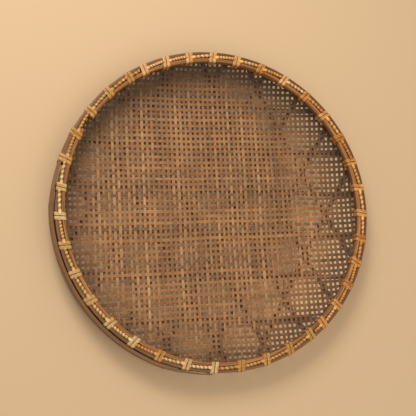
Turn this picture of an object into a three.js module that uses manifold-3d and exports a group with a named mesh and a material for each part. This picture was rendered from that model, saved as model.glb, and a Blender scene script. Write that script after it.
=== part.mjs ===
// A round winnowing basket, lying open side up on the middle of its woven floor.
//
// A shallow tray of split bamboo is trapped between a deep outer hoop and a lower, rounded inner hoop.
// Rattan binder ties the two hoops together all the way round, in two lengths, and three sets of broad
// slats cross under the tray as its backing.
//
// Millimetres and degrees, +Z up. Angles around the rim run clockwise from +Y, seen from above.

import * as THREE from "three";
import { mergeVertices } from "three/addons/utils/BufferGeometryUtils.js";
import Module from "manifold-3d";

// Hoops
const outerHoopRadius = 278.5; // to the outer face, where the hoop is a single layer
const outerHoopThickness = 4;
const outerHoopHeight = 25;
const innerHoopThickness = 7;
const innerHoopHeight = 14;
const innerHoopChamfer = 2.5;
const grooveWidth = 5; // between the hoops, where the tray's edge stands

// The outer hoop's ends lap: its free tail lies outside the first lashings past its start.
const tailTip = 182.5;
const tailFullFrom = 203;
const buriedEndThinFrom = 262;
const buriedEnd = 280;
const lapMerged = 306;
const skivedThickness = 1.5; // what is left of each end at its tip

// The inner hoop's ends don't meet.
const innerGapFrom = 296.8;
const innerGapTo = 302.3;

// Tray
const trayThickness = 1.6;
const trayDrop = 24; // from the inner hoop's lower edge down to the tray's underside
const bellyWidth = 64; // the gently rising ring around the flat floor
const bellyRise = 6;
const bendReach = 18; // plan width of the bend that turns the tray up between the hoops
const trayEdgeBelowTop = 2;

// Backing slats
const slatWidth = 8.5;
const slatThickness = 0.9;
const slatsPerSet = 6;
const slatRowPitch = 77; // between neighbouring level slats
const slatColumnPitch = 86; // between neighbouring crossings along a level slat
const slatTurn = 1.1; // of the whole backing, anticlockwise
const slatEndInset = 12; // from the middle of the groove to a slat's end

// Rattan binder
const binderThickness = 1;
const binderWidth = 6.3;
const turnsPerLashing = 2;
const turnGap = 0.6;
const binderLengths = [
  { first: 330, last: 496.1, lashings: 18, drift: 2.2 },
  { first: 142.6, last: 323.4, lashings: 19, drift: 0.9 },
];

// Clearances
const bindingGap = 0.5; // between the binder and what it is tied round
const layerGap = 0.4; // between layers of woven strips
const slotGap = 0.4; // round a lashing where it pierces the tray
const endGap = 0.5; // where one length of binder stops at the next lashing

// Facets
const ringSteps = 90;
const bendSteps = 5;
const bellySteps = 3;
const hoopStep = 3; // degrees
const slatBendStep = 4;
const slatBellyStep = 24;
const slatStepsAcross = 2;

// ---- Sizes that follow ----

const grooveOuterRadius = outerHoopRadius - outerHoopThickness;
const grooveInnerRadius = grooveOuterRadius - grooveWidth;
const trayEdgeRadius = grooveOuterRadius - grooveWidth / 2;
const innerHoopRadius = grooveInnerRadius - innerHoopThickness;

const slatLayers = 3;
const trayUnderside = slatLayers * (slatThickness + layerGap);
const trayMiddle = trayUnderside + trayThickness / 2;
const innerHoopBase = trayUnderside + trayDrop;
const rimTop = innerHoopBase + innerHoopHeight;
const hoopBase = rimTop - outerHoopHeight;

const bendStartRadius = trayEdgeRadius - bendReach;
const flatRadius = bendStartRadius - bellyWidth;
const bellySlope = Math.atan((2 * bellyRise) / bellyWidth);
const bendRadius = bendReach / (1 - Math.sin(bellySlope));

const lashingWidth = turnsPerLashing * binderWidth + (turnsPerLashing - 1) * turnGap;

const radians = THREE.MathUtils.degToRad;
const ease = THREE.MathUtils.smoothstep;
const degreesPerMillimetre = 180 / (Math.PI * trayEdgeRadius);

// ---- Solids ----

const wasm = await Module();
wasm.setup();

function toSolid(geometry) {
  const bare = geometry.clone();
  bare.deleteAttribute("normal");
  bare.deleteAttribute("uv");
  const merged = mergeVertices(bare, 1e-3);
  return new wasm.Manifold(
    new wasm.Mesh({
      numProp: 3,
      vertProperties: merged.getAttribute("position").array,
      triVerts: new Uint32Array(merged.index.array),
    }),
  );
}

function toGeometry(solid) {
  const mesh = solid.getMesh();
  const geometry = new THREE.BufferGeometry();
  geometry.setAttribute("position", new THREE.BufferAttribute(mesh.vertProperties, mesh.numProp));
  geometry.setIndex(new THREE.BufferAttribute(mesh.triVerts, 1));
  geometry.computeVertexNormals();
  return geometry;
}

// A closed profile of [radius, height] points, turned round the basket's axis.
function turned(profile) {
  const points = profile.map(([radius, height]) => new THREE.Vector2(radius, height));
  return new THREE.LatheGeometry(points, ringSteps).rotateX(Math.PI / 2);
}

// A point at a plan radius, clockwise from +Y.
function planPoint(radius, degrees) {
  return new THREE.Vector2(radius * Math.sin(radians(degrees)), radius * Math.cos(radians(degrees)));
}

// ---- Materials ----

function material(color, roughness) {
  return new THREE.MeshStandardMaterial({ color, roughness, metalness: 0 });
}

const hoopBamboo = material(0xa0714a, 0.55);
const innerBamboo = material(0x9c7550, 0.55);
const trayBamboo = material(0x8f6844, 0.7);
const slatBamboo = material(0x6f4f33, 0.75);
const paleRattan = material(0xd9b35f, 0.45);
const amberRattan = material(0xc98a3c, 0.45);

const basket = new THREE.Group();

function add(name, geometry, finish, clockwise = 0) {
  const mesh = new THREE.Mesh(geometry, finish);
  mesh.name = name;
  mesh.rotation.z = -radians(clockwise);
  basket.add(mesh);
}

// ---- Outer hoop ----

// The band is one spiral. Its turn runs from the tail's tip, clockwise, to the end buried under the tail.
// In its first part it is the outer layer, and from lapMerged on it is the single layer.

function buriedThickness(degrees) {
  const thinned = outerHoopThickness - skivedThickness;
  return outerHoopThickness - thinned * ease(degrees, buriedEndThinFrom, buriedEnd);
}

// The tail lies over the lashings that are tied round the buried end.
function tailInnerFace(degrees) {
  const thickest = buriedThickness(degrees - lashingWidth * degreesPerMillimetre);
  const overBinder = grooveOuterRadius + thickest + 2 * bindingGap + binderThickness;
  return THREE.MathUtils.lerp(overBinder, grooveOuterRadius, ease(degrees, buriedEnd, lapMerged));
}

function tailThickness(degrees) {
  const grown = outerHoopThickness - skivedThickness;
  return skivedThickness + grown * ease(degrees, tailTip, tailFullFrom);
}

function outerHoopGeometry() {
  const turn = 360 + buriedEnd - tailTip;
  const steps = Math.round(turn / hoopStep);
  const outerFace = [];
  const innerFace = [];
  for (let i = 0; i <= steps; i++) {
    const degrees = tailTip + (turn * i) / steps;
    const isTail = degrees < lapMerged;
    const inner = isTail ? tailInnerFace(degrees) : grooveOuterRadius;
    const thickness = isTail ? tailThickness(degrees) : buriedThickness(degrees - 360);
    innerFace.push(planPoint(inner, degrees));
    outerFace.push(planPoint(inner + thickness, degrees));
  }
  const outline = new THREE.Shape([...outerFace, ...innerFace.reverse()]);
  const band = new THREE.ExtrudeGeometry(outline, { depth: outerHoopHeight, bevelEnabled: false });
  return band.translate(0, 0, hoopBase);
}

// The faces of the layer that a lashing is tied round, at an angle from 0 to 360.
function boundLayer(degrees) {
  if (degrees > buriedEnd && degrees < lapMerged) {
    const inner = tailInnerFace(degrees);
    return { inner, outer: inner + tailThickness(degrees) };
  }
  const isBuried = degrees > tailTip && degrees <= buriedEnd;
  const thickness = isBuried ? buriedThickness(degrees) : outerHoopThickness;
  return { inner: grooveOuterRadius, outer: grooveOuterRadius + thickness };
}

// ---- Inner hoop ----

function innerHoopGeometry() {
  const inside = innerHoopRadius;
  const outside = grooveInnerRadius;
  const cut = innerHoopChamfer;
  const ring = turned([
    [inside, innerHoopBase + cut],
    [inside + cut, innerHoopBase],
    [outside, innerHoopBase],
    [outside, rimTop - cut / 2],
    [outside - cut / 2, rimTop],
    [inside + cut, rimTop],
    [inside, rimTop - cut],
    [inside, innerHoopBase + cut],
  ]);
  const gapMiddle = (innerGapFrom + innerGapTo) / 2;
  const gapWidth = 2 * innerHoopRadius * Math.tan(radians(innerGapTo - innerGapFrom) / 2);
  const wedge = new THREE.BoxGeometry(gapWidth, 4 * innerHoopThickness, 2 * innerHoopHeight);
  wedge.translate(0, innerHoopRadius + innerHoopThickness / 2, innerHoopBase + innerHoopHeight / 2);
  wedge.rotateZ(-radians(gapMiddle));
  return toGeometry(toSolid(ring).subtract(toSolid(wedge)));
}

// ---- Tray ----

// The tray's middle surface at a plan radius: its height, and its slope from level, in radians.
function traySurface(radius) {
  if (radius <= flatRadius) return { height: trayMiddle, slope: 0 };
  if (radius <= bendStartRadius) {
    const share = (radius - flatRadius) / bellyWidth;
    return { height: trayMiddle + bellyRise * share ** 2, slope: Math.atan(share * Math.tan(bellySlope)) };
  }
  const sine = Math.sin(bellySlope) + (radius - bendStartRadius) / bendRadius;
  const slope = Math.asin(Math.min(sine, 1));
  const bendRise = bendRadius * (Math.cos(bellySlope) - Math.cos(slope));
  return { height: trayMiddle + bellyRise + bendRise, slope };
}

// A [radius, height] point at a distance above the middle surface, measured square to it.
function offTray(radius, distance) {
  const { height, slope } = traySurface(radius);
  return [radius - distance * Math.sin(slope), height + distance * Math.cos(slope)];
}

function trayStations() {
  const stations = [];
  for (let i = 0; i <= bellySteps; i++) stations.push(flatRadius + (bellyWidth * i) / bellySteps);
  const steepness = Math.PI / 2 - bellySlope;
  for (let i = 1; i <= bendSteps; i++) {
    const slope = bellySlope + (steepness * i) / bendSteps;
    stations.push(bendStartRadius + bendRadius * (Math.sin(slope) - Math.sin(bellySlope)));
  }
  return stations;
}

function traySolid() {
  const half = trayThickness / 2;
  const stations = trayStations();
  const top = rimTop - trayEdgeBelowTop;
  return toSolid(
    turned([
      [0, trayMiddle - half],
      ...stations.map((radius) => offTray(radius, -half)),
      [trayEdgeRadius + half, top],
      [trayEdgeRadius - half, top],
      ...stations.reverse().map((radius) => offTray(radius, half)),
      [0, trayMiddle + half],
    ]),
  );
}

// ---- Backing slats ----

// Where a slat is divided along its length: finely over the bend and the belly, not at all on the flat.
function slatStations(offset) {
  const endRadius = trayEdgeRadius - slatEndInset;
  const half = Math.sqrt(endRadius ** 2 - offset ** 2);
  const stations = [];
  let along = half;
  while (along > 0 && Math.hypot(along, offset) > flatRadius - slatBellyStep) {
    stations.push(along);
    along -= Math.hypot(along, offset) > bendStartRadius ? slatBendStep : slatBellyStep;
  }
  return [...stations.map((station) => -station), ...stations.reverse()];
}

function slatGeometry(offset, turn, layer) {
  const stations = slatStations(offset);
  const pieces = stations.length - 1;
  const slat = new THREE.BoxGeometry(1, slatWidth, slatThickness, pieces, slatStepsAcross, 1);
  const position = slat.getAttribute("position");
  for (let i = 0; i < position.count; i++) {
    position.setX(i, stations[Math.round((position.getX(i) + 0.5) * pieces)]);
  }
  const depth = trayThickness / 2 + layerGap + slatThickness / 2 + layer * (slatThickness + layerGap);
  slat.translate(0, offset, -depth);
  slat.rotateZ(turn);
  return drapedUnderTray(slat);
}

function drapedUnderTray(flat) {
  const position = flat.getAttribute("position");
  for (let i = 0; i < position.count; i++) {
    const radius = Math.hypot(position.getX(i), position.getY(i));
    const [newRadius, height] = offTray(radius, position.getZ(i));
    const stretch = newRadius / radius;
    position.setXYZ(i, position.getX(i) * stretch, position.getY(i) * stretch, height);
  }
  flat.computeVertexNormals();
  return flat;
}

function addBacking() {
  const rise = Math.atan((2 * slatRowPitch) / slatColumnPitch);
  const diagonalPitch = slatColumnPitch * Math.sin(rise);
  const sets = [
    { name: "level_slat", pitch: slatRowPitch, turn: 0 },
    { name: "rising_slat", pitch: diagonalPitch, turn: rise },
    { name: "falling_slat", pitch: diagonalPitch, turn: -rise },
  ];
  sets.forEach(({ name, pitch, turn }, layer) => {
    for (let i = 0; i < slatsPerSet; i++) {
      const offset = (i - (slatsPerSet - 1) / 2) * pitch;
      const geometry = slatGeometry(offset, turn + radians(slatTurn), layer);
      add(`${name}_${i + 1}`, geometry, slatBamboo);
    }
  });
}

// ---- Rattan binder ----

// A strap pulled tight passes over any corner that would bend it inwards.
function tightened(outline) {
  const kept = outline.filter(([x, y], i) => {
    const [beforeX, beforeY] = outline.at(i - 1);
    const [afterX, afterY] = outline[(i + 1) % outline.length];
    return (x - beforeX) * (afterY - y) - (y - beforeY) * (afterX - x) > 0;
  });
  return kept.length === outline.length ? kept : tightened(kept);
}

// The corners of both hoops in section at an angle, as a convex outline of [radius, height] points.
function boundOutline(degrees) {
  const reach = (lashingWidth / 2) * degreesPerMillimetre;
  const layers = [degrees - reach, degrees, degrees + reach].map(boundLayer);
  const outer = Math.max(...layers.map((layer) => layer.outer));
  const inner = Math.min(...layers.map((layer) => layer.inner));
  return tightened([
    [outer, hoopBase],
    [outer, rimTop],
    [innerHoopRadius + innerHoopChamfer, rimTop],
    [innerHoopRadius, rimTop - innerHoopChamfer],
    [innerHoopRadius, innerHoopBase + innerHoopChamfer],
    [innerHoopRadius + innerHoopChamfer, innerHoopBase],
    [inner, hoopBase],
  ]);
}

// The outline of a strap held at a distance all round a convex outline, with its corners cut once.
function heldOff(outline, distance) {
  const points = [];
  outline.forEach(([x, y], i) => {
    const [beforeX, beforeY] = outline.at(i - 1);
    const [afterX, afterY] = outline[(i + 1) % outline.length];
    const sides = [
      [x - beforeX, y - beforeY],
      [afterX - x, afterY - y],
    ];
    for (const [dx, dy] of sides) {
      const scale = distance / Math.hypot(dx, dy);
      points.push(new THREE.Vector2(x + dy * scale, y - dx * scale));
    }
  });
  return points;
}

// A closed strap round both hoops, in the plane of +Y and +Z, centred on X = 0.
function strapGeometry(degrees, gap, thickness, width) {
  const outline = boundOutline(degrees);
  const strap = new THREE.Shape(heldOff(outline, gap + thickness));
  strap.holes.push(new THREE.Path(heldOff(outline, gap)));
  const band = new THREE.ExtrudeGeometry(strap, { depth: width, bevelEnabled: false });
  band.translate(0, 0, -width / 2);
  // The section's radius and height become +Y and +Z, and the strap's width lies along X.
  band.applyMatrix4(new THREE.Matrix4().set(0, 0, 1, 0, 1, 0, 0, 0, 0, 1, 0, 0, 0, 0, 0, 1));
  return band;
}

// The stretch that lies along the groove from one lashing to just short of the next.
function runGeometry(sweep) {
  const from = (lashingWidth / 2 - binderThickness) * degreesPerMillimetre;
  const to = sweep - (lashingWidth / 2 + endGap) * degreesPerMillimetre;
  const steps = 4;
  const nearEdge = [];
  const farEdge = [];
  for (let i = 0; i <= steps; i++) {
    const degrees = from + ((to - from) * i) / steps;
    const middle = trayEdgeRadius - grooveWidth / 4 + (grooveWidth / 2) * (i / steps);
    nearEdge.push(planPoint(middle - binderWidth / 2, degrees));
    farEdge.push(planPoint(middle + binderWidth / 2, degrees));
  }
  const outline = new THREE.Shape([...nearEdge, ...farEdge.reverse()]);
  const run = new THREE.ExtrudeGeometry(outline, { depth: binderThickness, bevelEnabled: false });
  return run.translate(0, 0, rimTop + bindingGap);
}

function lashingAngles({ first, last, lashings, drift }) {
  const angles = [];
  for (let i = 0; i < lashings; i++) {
    const share = i / (lashings - 1);
    angles.push(first + (last - first) * share - drift * Math.sin(2 * Math.PI * share));
  }
  return angles;
}

// Adds every lashing with the run that follows it, and returns the tray with a slot for each.
function addBinder(tray) {
  let slotted = tray;
  let number = 0;
  binderLengths.forEach((length, which) => {
    const finish = which === 0 ? amberRattan : paleRattan;
    const angles = lashingAngles(length);
    angles.forEach((angle, i) => {
      const clockwise = angle % 360;
      let lashing = toSolid(strapGeometry(clockwise, bindingGap, binderThickness, lashingWidth));
      if (i + 1 < angles.length) lashing = lashing.add(toSolid(runGeometry(angles[i + 1] - angle)));
      number += 1;
      add(`lashing_${String(number).padStart(2, "0")}`, toGeometry(lashing), finish, clockwise);
      const slot = strapGeometry(
        clockwise,
        bindingGap - slotGap,
        binderThickness + 2 * slotGap,
        lashingWidth + 2 * slotGap,
      );
      slotted = slotted.subtract(toSolid(slot.rotateZ(-radians(clockwise))));
    });
  });
  return slotted;
}

// ---- The basket ----

add("outer_hoop", outerHoopGeometry(), hoopBamboo);
add("inner_hoop", innerHoopGeometry(), innerBamboo);
addBacking();
add("tray", toGeometry(addBinder(traySolid())), trayBamboo);

// The origin is at the middle of the base of the box round the whole basket.
const extent = new THREE.Box3().setFromObject(basket, true);
const middle = extent.getCenter(new THREE.Vector3());
basket.position.set(-middle.x, -middle.y, -extent.min.z);

export default basket;
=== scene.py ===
"""A round winnowing basket: woven splints on hexagonal backing slats, two bent hoops and rattan binder."""

import math
import random

import bmesh
import bpy
from mathutils import Matrix, Vector, noise


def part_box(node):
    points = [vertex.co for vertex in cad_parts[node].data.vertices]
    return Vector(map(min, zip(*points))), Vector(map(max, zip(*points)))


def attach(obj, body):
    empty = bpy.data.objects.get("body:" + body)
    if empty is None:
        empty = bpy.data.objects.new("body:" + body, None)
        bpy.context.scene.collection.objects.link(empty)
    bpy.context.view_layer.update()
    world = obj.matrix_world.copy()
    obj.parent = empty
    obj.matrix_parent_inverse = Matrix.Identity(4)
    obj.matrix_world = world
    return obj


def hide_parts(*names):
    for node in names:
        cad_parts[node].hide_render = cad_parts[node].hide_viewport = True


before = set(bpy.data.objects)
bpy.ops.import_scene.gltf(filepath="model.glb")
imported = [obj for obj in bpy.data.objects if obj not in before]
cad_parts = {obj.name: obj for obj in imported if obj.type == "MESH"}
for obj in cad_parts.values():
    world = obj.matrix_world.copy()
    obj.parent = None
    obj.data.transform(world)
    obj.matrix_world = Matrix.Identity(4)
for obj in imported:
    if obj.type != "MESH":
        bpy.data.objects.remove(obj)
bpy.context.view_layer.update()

# ---- Sizes in millimetres, about the basket's own axis ----

MM = 0.001
tray_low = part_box("tray")[0] / MM
inner_low, inner_high = (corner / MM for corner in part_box("inner_hoop"))
outer_low, outer_high = (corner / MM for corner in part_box("outer_hoop"))

AXIS = Vector(((inner_low.x + inner_high.x) / 2, (inner_low.y + inner_high.y) / 2, 0))
RIM_TOP = inner_high.z
INNER_HOOP_BASE = inner_low.z
OUTER_HOOP_BASE = outer_low.z
GROOVE_INNER = (inner_high.y - inner_low.y) / 2
GROOVE_WIDTH = 5
GROOVE_OUTER = GROOVE_INNER + GROOVE_WIDTH
GROOVE_MIDDLE = (GROOVE_INNER + GROOVE_OUTER) / 2
# Half the outer hoop's extent along Y, past the groove. On one side the extent takes in the lap's tail.
OUTER_THICKNESS = (outer_high.y - outer_low.y) / 2 - GROOVE_OUTER
INNER_THICKNESS = 7
INNER_HOOP_RADIUS = GROOVE_INNER - INNER_THICKNESS

# The tray: a flat floor, a gently rising ring, a bend, and an edge that stands in the groove.
TRAY_THICKNESS = 1.6
TRAY_MIDDLE = tray_low.z + TRAY_THICKNESS / 2
BEND_WIDTH = 18
BEND_START = GROOVE_MIDDLE - BEND_WIDTH
BELLY_WIDTH = 64
BELLY_RISE = 6
FLAT_RADIUS = BEND_START - BELLY_WIDTH
BELLY_SLOPE = math.atan(2 * BELLY_RISE / BELLY_WIDTH)
BEND_RADIUS = BEND_WIDTH / (1 - math.sin(BELLY_SLOPE))
MAT_REACH = 286

COLUMN_PITCH = 8.8
ROW_PITCH = 9.7
SPLINT_THICKNESS = 0.7
LEVEL_WIDTHS = (4.6, 5.6)
UPRIGHT_WIDTHS = (4.2, 5.2)
ROW_LEAN = math.radians(4.0)
COLUMN_LEAN = math.radians(3.4)

SLAT_WIDTH = 8.5
SLAT_THICKNESS = 1.1
SLAT_ROW_PITCH = 77
SLAT_COLUMN_PITCH = 86
SLATS_PER_SET = 6
SLAT_TURN = math.radians(1.1)
SLAT_REACH = BEND_START + 26

# The outer hoop's lap and the inner hoop's gap, clockwise from +Y seen from above.
TAIL_TIP, TAIL_FULL_FROM = 182.5, 203
BURIED_THIN_FROM, BURIED_END = 262, 280
LAP_MERGED = 306
LAP_FILLED_FROM, LAP_FILLED = BURIED_END + 0.5, BURIED_END + 9
LAP_CREVICE = 0.4
SKIVED = 1.5
INNER_GAP_FROM, INNER_GAP_TO = 296.8, 302.3
HOOP_WANDER = 0.35

# The hoops' knuckles, in degrees along each band from its start, and how many millimetres a degree is.
OUTER_KNUCKLES = [268, 341, 412, 487, 560, 629]
INNER_KNUCKLES = [325, 398, 466, 541, 612]
KNUCKLE_SPREAD = 0.55
OUTER_DEGREE = 4.86
INNER_DEGREE = 4.7

BINDER_WIDTH = 6.3
BINDER_THICKNESS = 1.0
BINDING_GAP = 0.5
STRAP_THICKNESS = 0.8
STRAP_GAP = 0.15
STRAP_ROUNDING = 1.3
STRAP_CORNER_STEPS = 4
STRAP_STEPS = 64
TWISTED_WIDTH = 5.4
TWISTED_THICKNESS = 3.4
TIP_LENGTH = 15
TURN_PITCH = 6.9
LASHING_SLANT = math.radians(8)
BINDER_LENGTHS = [
    dict(first=330, last=496.1, lashings=18, drift=2.2, slot="amber_rattan"),
    dict(first=142.6, last=323.4, lashings=19, drift=0.9, slot="pale_rattan"),
]

random.seed(7)


# ---- Making laths and strips ----

UNNOTED = -8

def new_shape():
    """An empty shape, ready to note on each vertex where it lies in the grain."""
    bm = bmesh.new()
    bm.verts.layers.float_vector.new("grain")
    bm.verts.layers.float_vector.new("strip")
    return bm


def lath(bm, length, width, thickness, rounding, steps, segments=1):
    """A straight strip along X with rounded long edges, cut into steps. Returns its vertices."""
    blank = Matrix.Diagonal((length, width, thickness, 1))
    corners = bmesh.ops.create_cube(bm, size=1, matrix=blank)["verts"]
    note_strip(bm, corners, UNNOTED, 0)
    bmesh.ops.bevel(
        bm, geom=long_edges(corners, length), offset=rounding, offset_type="OFFSET",
        segments=segments, profile=0.5, affect="EDGES", material=-1,
    )
    corners = unnoted(bm)
    bmesh.ops.subdivide_edges(bm, edges=long_edges(corners, length), cuts=steps - 1, use_grid_fill=True)
    verts = unnoted(bm)
    grain = bm.verts.layers.float_vector["grain"]
    for v in verts:
        v[grain] = v.co
    return verts


def unnoted(bm):
    """The vertices whose strip has no tone yet."""
    strip = bm.verts.layers.float_vector["strip"]
    return [v for v in bm.verts if v[strip].x < UNNOTED / 2]


def long_edges(verts, length):
    edges = dict.fromkeys(edge for v in verts for edge in v.link_edges)
    return [edge for edge in edges if abs(edge.verts[0].co.x - edge.verts[1].co.x) > length / 2]


def note_strip(bm, verts, tone, shade, knuckle=0.0):
    """Notes on a strip's vertices its own tone and shade."""
    strip = bm.verts.layers.float_vector["strip"]
    for v in verts:
        v[strip] = (tone, shade, knuckle)


TO_FRAME = Matrix.Translation(AXIS * MM) @ Matrix.Scale(MM, 4)


def finished(bm, name, finish, slot, *nodes, sharp=38):
    """Turns a shape in millimetres into a piece in the frame that stands for some nodes."""
    bmesh.ops.recalc_face_normals(bm, faces=bm.faces)
    bmesh.ops.transform(bm, matrix=TO_FRAME, verts=bm.verts)
    mesh = bpy.data.meshes.new(name)
    bm.to_mesh(mesh)
    bm.free()
    mesh.materials.append(finish)
    mesh.shade_smooth()
    mesh.set_sharp_from_angle(angle=math.radians(sharp))
    piece = bpy.data.objects.new(name, mesh)
    bpy.context.scene.collection.objects.link(piece)
    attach(piece, "root")
    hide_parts(*nodes)
    return piece


def ease(value, low, high):
    share = min(max((value - low) / (high - low), 0), 1)
    return share * share * (3 - 2 * share)


def mix(a, b, share):
    return a + (b - a) * share


def at_angle(radius, degrees, height):
    """A point at a plan radius, clockwise from +Y."""
    turn = math.radians(degrees)
    return Vector((radius * math.sin(turn), radius * math.cos(turn), height))


# ---- The tray's surface ----

def tray_at(reach):
    """The tray's middle surface at a distance from its centre measured along it: radius, height, slope."""
    if reach <= FLAT_RADIUS:
        return reach, TRAY_MIDDLE, 0.0
    if reach <= BEND_START:
        share = (reach - FLAT_RADIUS) / BELLY_WIDTH
        return reach, TRAY_MIDDLE + BELLY_RISE * share ** 2, math.atan(share * math.tan(BELLY_SLOPE))
    turned = (reach - BEND_START) / BEND_RADIUS
    slope = min(BELLY_SLOPE + turned, math.pi / 2)
    past = max(turned - (math.pi / 2 - BELLY_SLOPE), 0) * BEND_RADIUS
    radius = BEND_START + BEND_RADIUS * (math.sin(slope) - math.sin(BELLY_SLOPE))
    height = TRAY_MIDDLE + BELLY_RISE + BEND_RADIUS * (math.cos(BELLY_SLOPE) - math.cos(slope))
    return radius, height + past, slope


def draped(x, y, lift):
    """A point of a flat sheet, laid on the tray's middle surface and lifted off it."""
    reach = max(math.hypot(x, y), 1e-6)
    radius, height, slope = tray_at(reach)
    share = (radius - lift * math.sin(slope)) / reach
    return Vector((x * share, y * share, height + lift * math.cos(slope)))


# ---- Finishes ----

def linear(hex_colour):
    """A colour written as RRGGBB, as the four linear values that a shader takes."""
    channels = [int(hex_colour[i:i + 2], 16) / 255 for i in (0, 2, 4)]
    return [c / 12.92 if c <= 0.04045 else ((c + 0.055) / 1.055) ** 2.4 for c in channels] + [1]


class Finish:
    """A material made of nodes, with a method for each kind of node that the basket's finishes use."""

    def __init__(self, name, roughness, sheen=0.0):
        self.material = bpy.data.materials.new(name)
        self.material.use_nodes = True
        self.tree = self.material.node_tree
        self.shader = self.tree.nodes["Principled BSDF"]
        self.shader.inputs["Roughness"].default_value = roughness
        self.shader.inputs["Sheen Weight"].default_value = sheen

    def node(self, kind, output, settings=(), **inputs):
        made = self.tree.nodes.new(kind)
        for key, value in dict(settings).items():
            setattr(made, key, value)
        for key, value in inputs.items():
            socket = made.inputs[int(key[1:])] if key[0] == "i" and key[1:].isdigit() else made.inputs[key]
            if isinstance(value, bpy.types.NodeSocket):
                self.tree.links.new(value, socket)
            else:
                socket.default_value = value
        return made.outputs[output]

    def noted(self, name):
        return self.node("ShaderNodeAttribute", "Vector", {"attribute_name": name})

    def part(self, vector, axis):
        return self.node("ShaderNodeSeparateXYZ", axis, Vector=vector)

    def stretched(self, vector, x, y, z):
        return self.node("ShaderNodeVectorMath", "Vector", {"operation": "MULTIPLY"}, i0=vector, i1=(x, y, z))

    def added(self, vector, other):
        return self.node("ShaderNodeVectorMath", "Vector", {"operation": "ADD"}, i0=vector, i1=other)

    def noise(self, vector, scale=1.0, detail=4.0, rough=0.55):
        settings = {"Scale": scale, "Detail": detail, "Roughness": rough}
        return self.node("ShaderNodeTexNoise", "Fac", Vector=vector, **settings)

    def ramp(self, value, *stops):
        """Runs a value through (place, colour) stops."""
        made = self.tree.nodes.new("ShaderNodeValToRGB")
        elements = made.color_ramp.elements
        elements[0].position, elements[0].color = stops[0]
        elements[1].position, elements[1].color = stops[-1]
        for place, colour in stops[1:-1]:
            elements.new(place).color = colour
        self.tree.links.new(value, made.inputs["Fac"])
        return made.outputs["Color"]

    def reckon(self, operation, a, b=0.0, clamp=False):
        return self.node("ShaderNodeMath", "Value", {"operation": operation, "use_clamp": clamp}, i0=a, i1=b)

    def blend(self, share, a, b, how="MIX"):
        return self.node("ShaderNodeMix", 2, {"data_type": "RGBA", "blend_type": how}, i0=share, i6=a, i7=b)

    def spread(self, value, low, high):
        """A value's share of the way from low to high, from 0 to 1."""
        return self.node("ShaderNodeMapRange", "Result", i0=value, i1=low, i2=high, i3=0.0, i4=1.0)

    def coloured(self, colour, roughness, height, strength, depth):
        links = self.tree.links
        links.new(colour, self.shader.inputs["Base Color"])
        links.new(roughness, self.shader.inputs["Roughness"])
        bump = self.node("ShaderNodeBump", "Normal", Strength=strength, Distance=depth * MM, Height=height)
        links.new(bump, self.shader.inputs["Normal"])
        return self.material


def per_strip(finish, along, across):
    """Grain coordinates for streaks that run along a strip and differ from strip to strip."""
    grain = finish.stretched(finish.noted("grain"), along, across, across)
    tone = finish.part(finish.noted("strip"), "X")
    shift = finish.node("ShaderNodeCombineXYZ", "Vector", X=tone, Y=tone, Z=tone)
    return finish.added(grain, finish.stretched(shift, 91, 57, 33))


# Soot and painted shade darken the mat toward the rim, from a reach in metres about a middle set a little off
# the axis toward -Y, so the painted shade of the rim falls deepest at the top.
SOOT_AND_SHADE_MIDDLE = Vector((-5, -18, 0))
SOOT_AND_SHADE_REACH = (0.212, 0.302)


def splint_finish(name, dark, middle, light):
    """Dry split bamboo: each splint has its own tone, with streaks, dust, and soot and painted shade toward
    the rim.
    """
    finish = Finish(name, 0.7)
    tone = finish.part(finish.noted("strip"), "X")
    dusty = finish.part(finish.noted("strip"), "Y")
    fibres = finish.noise(per_strip(finish, 0.04, 0.9), detail=5)
    drift = finish.noise(per_strip(finish, 0.016, 0.02), detail=2)
    value = finish.reckon("ADD", finish.reckon("MULTIPLY", tone, 0.5), finish.reckon("MULTIPLY", drift, 0.5))
    base = finish.ramp(value, (0.2, linear(dark)), (0.5, linear(middle)), (0.8, linear(light)))
    streaks = finish.ramp(fibres, (0.3, (0.6, 0.54, 0.5, 1)), (0.62, (1.12, 1.1, 1.06, 1)))
    base = finish.blend(0.75, base, streaks, "MULTIPLY")
    place = finish.node("ShaderNodeTexCoord", "Object")
    stains = finish.noise(place, scale=22, detail=4)
    patches = finish.ramp(stains, (0.38, (0.76, 0.72, 0.68, 1)), (0.62, (1.1, 1.08, 1.06, 1)))
    base = finish.blend(0.8, base, patches, "MULTIPLY")
    bloom = finish.noise(place, scale=170, detail=5, rough=0.7)
    bloom = finish.reckon("MULTIPLY", finish.spread(bloom, 0.5, 0.85), dusty, clamp=True)
    base = finish.blend(bloom, base, linear("B39A78"))
    # Painted shade, partly soot: the mat darkens toward the rim, deepest at the top where the rim shades it.
    soot_and_shade_middle = (AXIS + SOOT_AND_SHADE_MIDDLE) * MM
    distance = {"operation": "DISTANCE"}
    outward = finish.node("ShaderNodeVectorMath", "Value", distance, i0=place, i1=soot_and_shade_middle)
    outward = finish.reckon("ADD", outward, finish.reckon("MULTIPLY", stains, 0.03))
    soot_and_shade_share = finish.spread(outward, *SOOT_AND_SHADE_REACH)
    soot_and_shade = finish.ramp(soot_and_shade_share, (0.0, (1, 1, 1, 1)), (1.0, (0.2, 0.18, 0.17, 1)))
    base = finish.blend(1.0, base, soot_and_shade, "MULTIPLY")
    roughness = finish.reckon("ADD", finish.reckon("MULTIPLY", fibres, 0.3), 0.48)
    return finish.coloured(base, roughness, fibres, 0.5, 0.25)


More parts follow.
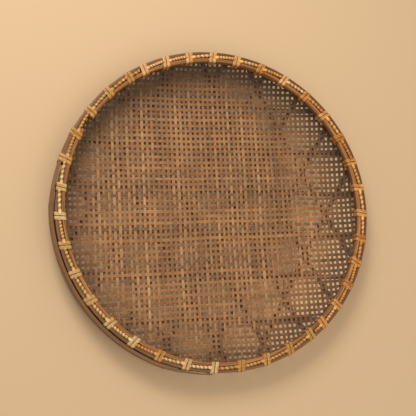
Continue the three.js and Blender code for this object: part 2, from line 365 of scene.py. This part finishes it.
def hoop_finish(name, dark, middle, light, edge):
    """Bent bamboo: long fibres, cracks, darker rings at the knuckles, painted shade from the strip's X note,
    and a rubbed edge.
    """
    finish = Finish(name, 0.5)
    grain = finish.noted("grain")
    fibres = finish.noise(finish.stretched(grain, 0.012, 0.5, 0.36), detail=6, rough=0.68)
    long_tone = finish.noise(finish.stretched(grain, 0.006, 0.05, 0.05), detail=2)
    base = finish.ramp(fibres, (0.32, linear(dark)), (0.5, linear(middle)), (0.68, linear(light)))
    drift = finish.ramp(long_tone, (0.35, (0.8, 0.76, 0.72, 1)), (0.65, (1.1, 1.08, 1.05, 1)))
    base = finish.blend(0.8, base, drift, "MULTIPLY")
    cracks = finish.noise(finish.stretched(grain, 0.008, 0.5, 0.4), detail=3, rough=0.4)
    cracks = finish.spread(cracks, 0.57, 0.63)
    base = finish.blend(finish.reckon("MULTIPLY", cracks, 0.75), base, linear("3A2314"))
    knuckle = finish.part(finish.noted("strip"), "Z")
    base = finish.blend(finish.reckon("MULTIPLY", knuckle, 0.55, clamp=True), base, linear("4B2F1A"))
    # Painted shade from the strip's X note: the outer hoop's far side and the inner hoop's lower inner face.
    painted_shade = finish.part(finish.noted("strip"), "X")
    base = finish.blend(finish.reckon("MULTIPLY", painted_shade, 0.85, clamp=True), base, linear("2E1B0E"))
    rubbed = finish.part(finish.noted("strip"), "Y")
    base = finish.blend(finish.reckon("MULTIPLY", rubbed, 0.3, clamp=True), base, linear(edge))
    roughness = finish.reckon("ADD", finish.reckon("MULTIPLY", fibres, 0.35), 0.3)
    height = finish.reckon("SUBTRACT", fibres, cracks)
    return finish.coloured(base, roughness, height, 0.55, 0.3)


def rattan_finish(name, dark, middle, light):
    """Rattan skin: glossy, finely lined along its length, with browner edges that are partly painted shade in
    the gaps, specks, and painted shade down the flanks.
    """
    finish = Finish(name, 0.35)
    tone = finish.part(finish.noted("strip"), "X")
    edge = finish.part(finish.noted("strip"), "Y")
    lines = finish.noise(per_strip(finish, 0.07, 1.1), detail=5)
    mottle = finish.noise(per_strip(finish, 0.11, 0.25), detail=3)
    tone, mottle = finish.reckon("MULTIPLY", tone, 0.35), finish.reckon("MULTIPLY", mottle, 0.65)
    value = finish.reckon("ADD", tone, mottle)
    base = finish.ramp(value, (0.28, linear(dark)), (0.5, linear(middle)), (0.74, linear(light)))
    shading = finish.ramp(lines, (0.32, (0.76, 0.7, 0.62, 1)), (0.6, (1.14, 1.12, 1.1, 1)))
    base = finish.blend(0.7, base, shading, "MULTIPLY")
    specks = finish.spread(finish.noise(per_strip(finish, 0.5, 1.2), detail=2), 0.66, 0.74)
    base = finish.blend(finish.reckon("MULTIPLY", specks, 0.6), base, linear("6A4520"))
    # Browner edges: partly the skin's own colour, partly painted shade in the gaps between turns and twists.
    base = finish.blend(finish.reckon("MULTIPLY", edge, 0.68, clamp=True), base, linear("56351A"))
    # Painted shade: the strap darkens down its flanks, below the rim top.
    painted_flank_shade = finish.part(finish.noted("strip"), "Z")
    base = finish.blend(finish.reckon("MULTIPLY", painted_flank_shade, 0.6, clamp=True), base, linear(dark))
    roughness = finish.reckon("ADD", finish.reckon("MULTIPLY", lines, 0.25), 0.24)
    return finish.coloured(base, roughness, lines, 0.4, 0.2)


# ---- The woven mat ----

def mat_point(column, row, lift):
    """A point of the mat at a distance along its rows and along its columns, in millimetres."""
    x = column * math.cos(ROW_LEAN) - row * math.sin(COLUMN_LEAN)
    y = column * math.sin(ROW_LEAN) + row * math.cos(COLUMN_LEAN)
    sway = noise.noise_vector(Vector((x, y, 0)) / 105)
    return draped(x + 1.8 * sway.x, y + 1.8 * sway.y, lift)


def splints(name, pitch, crossing_pitch, widths, is_level, finish):
    """One set of splints, each bent over and under those that cross it."""
    bm = new_shape()
    count = int(MAT_REACH / pitch)
    swing = (TRAY_THICKNESS - SPLINT_THICKNESS) / 2
    for i in range(-count, count + 1):
        jog = random.uniform(-0.45, 0.45)
        half = math.sqrt(MAT_REACH ** 2 - (i * pitch) ** 2)
        steps = max(3, round(2 * half / crossing_pitch * 3))
        width = random.uniform(*widths)
        verts = lath(bm, 2 * half, width, SPLINT_THICKNESS, 0.22, steps)
        note_strip(bm, verts, random.triangular(0.1, 0.9), random.uniform(0.1, 0.8))
        side = (1 if i % 2 else -1) * (1 if is_level else -1)
        seed = Vector((0, i * 3.7, 40 if is_level else 80))
        for v in verts:
            along, across, up = v.co
            lift = up + side * swing * math.cos(math.pi * along / crossing_pitch)
            off = i * pitch + jog + across * (1 + 0.1 * noise.noise(seed + Vector((along / 30, 0, 0))))
            v.co = mat_point(along, off, lift) if is_level else mat_point(off, along, lift)
    return finished(bm, name, finish, "woven_splints", "tray")


# ---- Backing slats ----

def backing_lines():
    """Each backing slat as (node name, set, angle, offset from the centre)."""
    rise = math.atan(2 * SLAT_ROW_PITCH / SLAT_COLUMN_PITCH)
    diagonal = SLAT_COLUMN_PITCH * math.sin(rise)
    sets = [
        ("level_slat", SLAT_ROW_PITCH, 0), ("rising_slat", diagonal, rise), ("falling_slat", diagonal, -rise),
    ]
    lines = []
    for which, (name, pitch, angle) in enumerate(sets):
        for i in range(SLATS_PER_SET):
            lines.append((f"{name}_{i + 1}", which, angle, (i - (SLATS_PER_SET - 1) / 2) * pitch))
    return lines


def crossings(line, lines):
    """Where along a slat the others cross it, and whether it passes over them.

    Each set lies over the next.
    """
    _, which, angle, offset = line
    found = []
    for _, other, other_angle, other_offset in lines:
        if other != which:
            turn = other_angle - angle
            along = (offset * math.cos(turn) - other_offset) / math.sin(turn)
            found.append((along, 1 if (other - which) % 3 == 1 else -1))
    return sorted(found)


def woven_height(along, found):
    before = [c for c in found if c[0] <= along]
    after = [c for c in found if c[0] > along]
    if not before or not after:
        return (before[-1] if before else after[0])[1]
    (start, low), (end, high) = before[-1], after[0]
    return mix(low, high, ease(along, start, end))


def backing_slat(line, lines, finish):
    name, _, angle, offset = line
    bm = new_shape()
    half = math.sqrt(SLAT_REACH ** 2 - offset ** 2)
    verts = lath(bm, 2 * half, SLAT_WIDTH, SLAT_THICKNESS, 0.3, round(half / 2), segments=2)
    note_strip(bm, verts, random.random(), random.uniform(0.1, 0.7))
    found = crossings(line, lines)
    turn = angle + SLAT_TURN
    seed = Vector((0, offset / 20, angle * 5))
    for v in verts:
        along, across, up = v.co
        sway = 0.8 * noise.noise(seed + Vector((along / 90, 0, 0)))
        y = offset + across * (1 + 0.06 * noise.noise(seed + Vector((along / 25, 9, 0)))) + sway
        upturned = ease(math.hypot(along, y), BEND_START - 20, BEND_START + 8)
        swing = mix(1.1, 0.15, upturned) * woven_height(along, found)
        depth = mix(TRAY_MIDDLE - tray_low.z / 2, TRAY_THICKNESS / 2 + 0.75, upturned)
        lift = up - depth + swing
        x, y = along * math.cos(turn) - y * math.sin(turn), along * math.sin(turn) + y * math.cos(turn)
        v.co = draped(x, y, lift)
    return finished(bm, name.replace("slat", "backing_slat"), finish, "backing_slats", name)


# ---- Hoops ----

def buried_thickness(degrees):
    return OUTER_THICKNESS - (OUTER_THICKNESS - SKIVED) * ease(degrees, BURIED_THIN_FROM, BURIED_END)


def tail_inner_face(degrees):
    lashing_degrees = math.degrees((2 * BINDER_WIDTH + 0.6) / GROOVE_MIDDLE)
    thickest = buried_thickness(degrees - lashing_degrees)
    over_binder = GROOVE_OUTER + thickest + 2 * BINDING_GAP + BINDER_THICKNESS
    return mix(over_binder, GROOVE_OUTER, ease(degrees, BURIED_END, LAP_MERGED))


def tail_thickness(degrees):
    return SKIVED + (OUTER_THICKNESS - SKIVED) * ease(degrees, TAIL_TIP, TAIL_FULL_FROM)


def outer_layer(degrees):
    """The outer hoop's two faces, along its spiral from the tail's tip."""
    if degrees < LAP_MERGED:
        inner = tail_inner_face(degrees)
        filled = mix(inner, GROOVE_OUTER + LAP_CREVICE, ease(degrees, LAP_FILLED_FROM, LAP_FILLED))
        return min(inner, filled), inner + tail_thickness(degrees)
    return GROOVE_OUTER, GROOVE_OUTER + buried_thickness(degrees - 360)


def knuckle_at(degrees, places):
    """How near a place on a hoop is to one of its knuckles, from 0 to 1."""
    return max(math.exp(-((degrees - place) / KNUCKLE_SPREAD) ** 2) for place in places)


def outer_hoop(finish):
    """One bent lath whose tail laps outside its buried end."""
    bm = new_shape()
    height = RIM_TOP - OUTER_HOOP_BASE
    turn = 360 + BURIED_END - TAIL_TIP
    verts = lath(bm, turn, OUTER_THICKNESS, height, 1.1, round(turn * 2), segments=3)
    note_strip(bm, verts, 0, 0)
    grain = bm.verts.layers.float_vector["grain"]
    strip = bm.verts.layers.float_vector["strip"]
    for v in verts:
        degrees = v.co.x + turn / 2 + TAIL_TIP
        inner, outer = outer_layer(degrees)
        share = v.co.y / OUTER_THICKNESS + 0.5
        knuckle = knuckle_at(degrees, OUTER_KNUCKLES)
        ripple = 0.25 * noise.noise(Vector((degrees / 3, v.co.z / 9, 3)))
        outer += 0.45 * knuckle + min(ripple, 0.1)
        wander = HOOP_WANDER * noise.noise(Vector((degrees / 11, 0, 8)))
        v[grain] = (degrees * OUTER_DEGREE, v.co.y, v.co.z)
        # The far side of the top edge is darkened with painted shade, and the rest of the edge is rubbed
        # pale.
        painted_shade = 0.55 * ease(math.cos(math.radians(degrees - 55)), -0.1, 0.7)
        v[strip] = (painted_shade, ease(abs(v.co.z), height / 2 - 1.6, height / 2) * (1 - painted_shade), knuckle)
        v.co = at_angle(mix(inner, outer, share), degrees, OUTER_HOOP_BASE + height / 2 + v.co.z + wander)
    return finished(bm, "outer_hoop_bamboo", finish, "outer_hoop_bamboo", "outer_hoop")


def inner_hoop(finish):
    """A lower rod, rounded on its top and inner side, whose ends don't meet."""
    bm = new_shape()
    height = RIM_TOP - INNER_HOOP_BASE
    turn = 360 - (INNER_GAP_TO - INNER_GAP_FROM)
    verts = lath(bm, turn, INNER_THICKNESS, height, 2.3, round(turn * 2), segments=4)
    grain = bm.verts.layers.float_vector["grain"]
    strip = bm.verts.layers.float_vector["strip"]
    for v in verts:
        degrees = v.co.x + turn / 2 + INNER_GAP_TO
        share = v.co.y / INNER_THICKNESS + 0.5
        knuckle = knuckle_at(degrees, INNER_KNUCKLES)
        bulge = 0.9 * (1 - (2 * v.co.z / height) ** 2) * (1 - share)
        wander = HOOP_WANDER * noise.noise(Vector((degrees / 9, 0, 5)))
        radius = INNER_HOOP_RADIUS + share * INNER_THICKNESS + (1 - share) * (0.9 - bulge - 0.3 * knuckle)
        v[grain] = (degrees * INNER_DEGREE, v.co.y, v.co.z)
        # Painted shade: the inner face darkens from 3 to 9 mm below the top, where the rim shades it.
        v[strip] = (0.8 * ease(height / 2 - v.co.z, 3, 9) * (1 - share), 0, knuckle)
        v.co = at_angle(radius, degrees, INNER_HOOP_BASE + height / 2 + v.co.z + wander)
    return finished(bm, "inner_hoop_bamboo", finish, "inner_hoop_bamboo", "inner_hoop")


# ---- Rattan binder ----

def lashing_angles(length):
    steps = length["lashings"] - 1
    sweep = length["last"] - length["first"]
    return [
        length["first"] + sweep * i / steps - length["drift"] * math.sin(2 * math.pi * i / steps)
        for i in range(length["lashings"])
    ]


def bound_layer(degrees):
    """The faces of the outer hoop's layer that a lashing is tied round."""
    if BURIED_END < degrees < LAP_MERGED:
        return outer_layer(degrees)
    is_buried = TAIL_TIP < degrees <= BURIED_END
    return GROOVE_OUTER, GROOVE_OUTER + (buried_thickness(degrees) if is_buried else OUTER_THICKNESS)


def strap_path(degrees):
    """The rounded loop that a strap takes round both hoops, as (radius, height) points."""
    reach = math.degrees(TURN_PITCH / GROOVE_MIDDLE)
    layers = [bound_layer(place) for place in (degrees - reach, degrees, degrees + reach)]
    outer = max(layer[1] for layer in layers)
    inner = min(layer[0] for layer in layers)
    corners = [
        (outer, OUTER_HOOP_BASE), (outer, RIM_TOP), (INNER_HOOP_RADIUS, RIM_TOP),
        (INNER_HOOP_RADIUS, INNER_HOOP_BASE), (inner, OUTER_HOOP_BASE),
    ]
    loop = [Vector(corner) for corner in corners]
    normals = []
    for i, corner in enumerate(loop):
        side = loop[(i + 1) % len(loop)] - corner
        normals.append(Vector((side.y, -side.x)).normalized())
    held = STRAP_GAP + STRAP_THICKNESS / 2 + STRAP_ROUNDING
    path = []
    for i, corner in enumerate(loop):
        before, after = normals[i - 1], normals[i]
        inset = corner - (before + after) * STRAP_ROUNDING / (1 + before.dot(after))
        start = math.atan2(before.y, before.x)
        sweep = abs(before.angle_signed(after, 0))
        for k in range(STRAP_CORNER_STEPS + 1):
            turn = start + sweep * k / STRAP_CORNER_STEPS
            path.append(inset + held * Vector((math.cos(turn), math.sin(turn))))
    return path


def place_along(path, distance):
    """The point and outward normal at a distance along a closed path."""
    for i, point in enumerate(path):
        side = path[(i + 1) % len(path)] - point
        if distance <= side.length or i == len(path) - 1:
            normal = Vector((side.y, -side.x)).normalized()
            return point + side * (distance / side.length), normal
        distance -= side.length


def strap(bm, path, shift, slant, tone):
    """One turn of binder, pulled tight round both hoops."""
    lengths = [(path[(i + 1) % len(path)] - path[i]).length for i in range(len(path))]
    total = sum(lengths)
    width = BINDER_WIDTH * random.uniform(0.88, 0.98)
    verts = lath(bm, total, width, STRAP_THICKNESS, 0.35, STRAP_STEPS, segments=2)
    note_strip(bm, verts, tone, 0)
    strip = bm.verts.layers.float_vector["strip"]
    # The loop starts on the hoops' underside, where its ends lap.
    start = sum(lengths[:-3])
    for v in verts:
        along, across, up = v.co
        # The edge note darkens the strap's edges: partly rattan's colour, partly painted shade in the gap
        # between turns.
        edge = ease(abs(across) / width, 0.38, 0.5)
        crown = 0.25 * (1 - (2 * across / width) ** 2)
        spot, normal = place_along(path, (along + total / 2 + start) % total)
        # The third note is painted shade, growing down the strap's sides from the rim top.
        v[strip] = (tone, edge, ease(RIM_TOP - spot.y, 0.5, 7))
        spot = spot + normal * (up + (crown if up > 0 else 0))
        lean = math.tan(slant) * (spot.x - GROOVE_MIDDLE)
        v.co = Vector((shift + across + lean, spot.x, spot.y))


def run(bm, start, end, half_turns, tone, drift):
    """The binder on its way along the groove: flat where it leaves a lashing, then twisted."""
    length = end - start
    verts = lath(bm, length, 1, 1, 0.3, max(6, round(length / 0.8)), segments=2)
    note_strip(bm, verts, tone, 0)
    strip = bm.verts.layers.float_vector["strip"]
    for v in verts:
        along = v.co.x + length / 2
        share = along / length
        twisting = ease(share, 0.06, 0.3)
        width = mix(BINDER_WIDTH - 0.5, TWISTED_WIDTH, twisting)
        thickness = mix(BINDER_THICKNESS + 0.1, TWISTED_THICKNESS, twisting)
        turn = math.pi * half_turns * max(share - 0.14, 0) / 0.86
        across, up = v.co.y * width, v.co.z * thickness
        # The edge note darkens the run's edges: partly rattan's colour, partly painted shade in the twist's
        # grooves.
        v[strip] = (tone, ease(abs(v.co.y), 0.34, 0.5), 0)
        side = across * math.cos(turn) - up * math.sin(turn)
        rise = across * math.sin(turn) + up * math.cos(turn)
        radius = GROOVE_MIDDLE + mix(-drift, drift, share) + side
        height = RIM_TOP + mix(1.0, 0.5, twisting) + rise
        turned = math.degrees((start + along) / GROOVE_MIDDLE)
        v.co = at_angle(radius, turned, height)


def lashing_tone(degrees, slot):
    """A lashing's tone. The amber length starts with its palest stretch, the pale one with its brownest."""
    paled = 1 - ease(degrees, 358, 367) if slot == "amber_rattan" else 0
    browned = 1 - ease(degrees, 155, 168) if slot == "pale_rattan" else 0
    return mix(mix(random.random(), 1, 0.9 * paled), 0, 0.9 * browned)


def lashing(number, degrees, to_next, slot, finish):
    """Two turns round both hoops, and the run along the groove to the next lashing."""
    bm = new_shape()
    tone = lashing_tone(degrees, slot)
    path = strap_path(degrees % 360)
    slant = LASHING_SLANT + math.radians(random.uniform(-3, 3))
    for shift in (-TURN_PITCH / 2, TURN_PITCH / 2):
        strap(bm, path, shift, slant, min(max(tone + random.uniform(-0.2, 0.2), 0), 1))
    edge = TURN_PITCH / 2 + BINDER_WIDTH / 2
    if to_next is None:
        run(bm, edge - 3, edge + TIP_LENGTH, 2, tone, 0.3)
    else:
        gap = math.radians(to_next) * GROOVE_MIDDLE
        run(bm, edge - 3, gap - edge + 2, random.choice((4, 5, 5, 6)), tone, random.uniform(0.6, 1.3))
    bmesh.ops.rotate(bm, verts=bm.verts, matrix=Matrix.Rotation(-math.radians(degrees), 3, "Z"))
    return finished(bm, f"binder_{number:02d}", finish, slot, f"lashing_{number:02d}")


def binder(finishes):
    number = 0
    for length in BINDER_LENGTHS:
        angles = lashing_angles(length)
        for i, degrees in enumerate(angles):
            number += 1
            to_next = angles[i + 1] - degrees if i + 1 < len(angles) else None
            lashing(number, degrees, to_next, length["slot"], finishes[length["slot"]])


# ---- Building the basket ----

level_finish = splint_finish("level_splints", "7A5230", "A06E3E", "BC8A50")
upright_finish = splint_finish("upright_splints", "7C583C", "A67C58", "CAA47C")
backing_finish = splint_finish("backing_splints", "54371F", "6B4829", "836040")
outer_finish = hoop_finish("outer_hoop_skin", "472C18", "704A2A", "94683C", "A0703F")
inner_finish = hoop_finish("inner_hoop_skin", "6A3E1E", "A66E3A", "D09C60", "B58A5C")
binder_finishes = {
    "amber_rattan": rattan_finish("amber_rattan_skin", "B87022", "ECA44C", "FFCE8C"),
    "pale_rattan": rattan_finish("pale_rattan_skin", "D08C3A", "E6B86C", "F8D69C"),
}

splints("level_splints", ROW_PITCH, COLUMN_PITCH, LEVEL_WIDTHS, True, level_finish)
splints("upright_splints", COLUMN_PITCH, ROW_PITCH, UPRIGHT_WIDTHS, False, upright_finish)
slat_lines = backing_lines()
for slat_line in slat_lines:
    backing_slat(slat_line, slat_lines, backing_finish)
outer_hoop(outer_finish)
inner_hoop(inner_finish)
binder(binder_finishes)


# ---- Stage, light and camera ----

# Sizes here are in metres. The floor's painted glow and painted shadow under the basket end just inside the
# rim.
FLOOR_UNDER_RIM = 0.275
CAMERA_YAW, CAMERA_PITCH = math.radians(16.5), math.radians(10.4)
CAMERA_DISTANCE = 1.344
CAMERA_LENS = 67.5
CAMERA_SHIFT = (-0.0283, -0.0023)


def floor():
    """A plain pale floor, with a painted glow under the basket's right side and a painted shadow in its
    colour under its far side.
    """
    bm = bmesh.new()
    slab = Matrix.Translation((0, 0, -0.02)) @ Matrix.Diagonal((12, 12, 0.04, 1))
    bmesh.ops.create_cube(bm, size=1, matrix=slab)
    mesh = bpy.data.meshes.new("floor")
    bm.to_mesh(mesh)
    bm.free()
    paint = Finish("floor_paint", 0.8)
    paint.shader.inputs["Emission Color"].default_value = linear("EBCB9E")
    place = paint.node("ShaderNodeTexCoord", "Object")
    reach = paint.node("ShaderNodeVectorMath", "Value", {"operation": "LENGTH"}, i0=place)
    # Painted light: an emitted pool under the basket, brighter to the right, with no lamp behind it.
    farther = paint.reckon("SUBTRACT", reach, paint.reckon("MULTIPLY", paint.part(place, "Y"), 0.12))
    under = paint.reckon("LESS_THAN", reach, FLOOR_UNDER_RIM)
    ring = paint.reckon("MULTIPLY", paint.spread(farther, 0.14, 0.25), under)
    rightward = paint.spread(paint.part(place, "X"), 0.02, 0.17)
    ring = paint.reckon("MULTIPLY", ring, paint.reckon("GREATER_THAN", paint.part(place, "Z"), -0.001))
    brightness = paint.reckon("ADD", paint.reckon("MULTIPLY", rightward, 0.44), 0.07)
    painted_glow = paint.reckon("MULTIPLY", ring, brightness)
    # Painted shadow: the base colour darkens under the basket's far side.
    painted_shadow = paint.reckon("MULTIPLY", under, paint.spread(paint.part(place, "Y"), 0.02, 0.16))
    painted_shadow = paint.reckon("MULTIPLY", painted_shadow, 0.75)
    paint.tree.links.new(
        paint.blend(painted_shadow, linear("DABC97"), linear("7A6248")), paint.shader.inputs["Base Color"]
    )
    paint.tree.links.new(painted_glow, paint.shader.inputs["Emission Strength"])
    mesh.materials.append(paint.material)
    made = bpy.data.objects.new("floor", mesh)
    bpy.context.scene.collection.objects.link(made)


def soft_light(name, place, size, power):
    data = bpy.data.lights.new(name, "AREA")
    data.size = size
    data.energy = power
    data.color = (1, 0.95, 0.87)
    made = bpy.data.objects.new(name, data)
    made.location = place
    made.rotation_euler = (-Vector(place)).to_track_quat("-Z", "Y").to_euler()
    bpy.context.scene.collection.objects.link(made)


def camera():
    """Looks at the middle of the rim from above and a little to the left and below."""
    target = (AXIS + Vector((0, 0, RIM_TOP))) * MM
    left, down = math.sin(CAMERA_YAW), math.sin(CAMERA_PITCH)
    away = Vector((-left, -down, math.sqrt(1 - left ** 2 - down ** 2)))
    right = Vector((0, 1, 0)).cross(away).normalized()
    turn = Matrix((right, away.cross(right), away)).transposed()
    data = bpy.data.cameras.new("camera")
    data.sensor_width = 36
    data.lens = CAMERA_LENS
    data.shift_x, data.shift_y = CAMERA_SHIFT
    made = bpy.data.objects.new("camera", data)
    made.matrix_world = Matrix.Translation(target + away * CAMERA_DISTANCE) @ turn.to_4x4()
    bpy.context.scene.collection.objects.link(made)
    bpy.context.scene.camera = made


def surroundings():
    world = bpy.data.worlds.new("studio")
    world.use_nodes = True
    sky = world.node_tree.nodes["Background"]
    sky.inputs["Color"].default_value = linear("FFF4E4")
    sky.inputs["Strength"].default_value = 0.5
    bpy.context.scene.world = world
    bpy.context.scene.view_settings.view_transform = "Standard"


floor()
soft_light("window", (-0.7, 1.2, 1.35), 0.8, 21)
soft_light("fill", (0.4, -0.8, 1.6), 1.6, 8)
camera()
surroundings()
